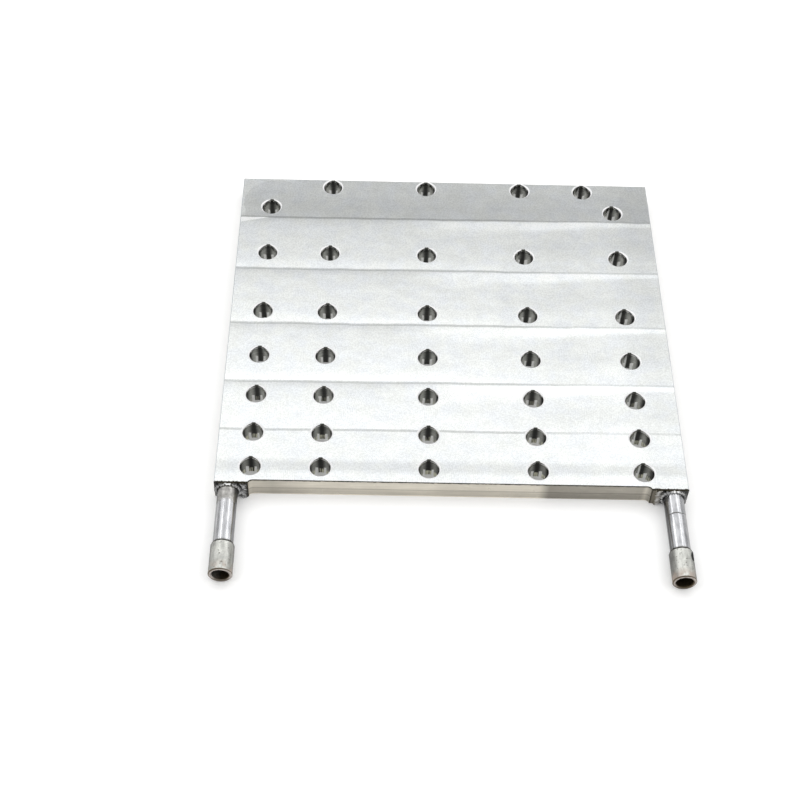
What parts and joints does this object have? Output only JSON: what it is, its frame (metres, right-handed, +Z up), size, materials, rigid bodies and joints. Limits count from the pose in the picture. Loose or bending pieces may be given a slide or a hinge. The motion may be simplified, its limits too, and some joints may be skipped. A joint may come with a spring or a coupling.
{
  "type": "liquid cooling cold plate",
  "caption": "Flat aluminium cold plate with countersunk screw holes and two straight coolant pipes welded into its front corners, each with a plain end sleeve",
  "frame": {"origin": "Centre of the plate's underside.", "axes": "+Z up, out of the mounting face; the pipes leave the front face along -Y; +X to the right when looking along +Y, towards the outlet."},
  "size_m": [0.28, 0.32, 0.014],
  "materials": {
    "milled_aluminium": "fly-cut",
    "plug_aluminium": "milled flush",
    "drawn_pipe": "drawn, bright",
    "weld_metal": "as welded",
    "blasted_sleeve": "dull, slightly pitted",
    "braze_filler": "as brazed"
  },
  "bodies": {
    "root": {"cold_plate": "milled_aluminium", "bore_plug_1": "plug_aluminium", "bore_plug_2": "plug_aluminium", "bore_plug_3": "plug_aluminium", "bore_plug_4": "plug_aluminium", "bore_plug_5": "plug_aluminium", "bore_plug_6": "plug_aluminium", "bore_plug_7": "plug_aluminium", "bore_plug_8": "plug_aluminium", "inlet_pipe": "drawn_pipe", "inlet_weld": "weld_metal", "inlet_sleeve": "blasted_sleeve", "inlet_braze_ring": "braze_filler", "outlet_pipe": "drawn_pipe", "outlet_weld": "weld_metal", "outlet_sleeve": "blasted_sleeve", "outlet_braze_ring": "braze_filler"}
  },
  "joints": []
}
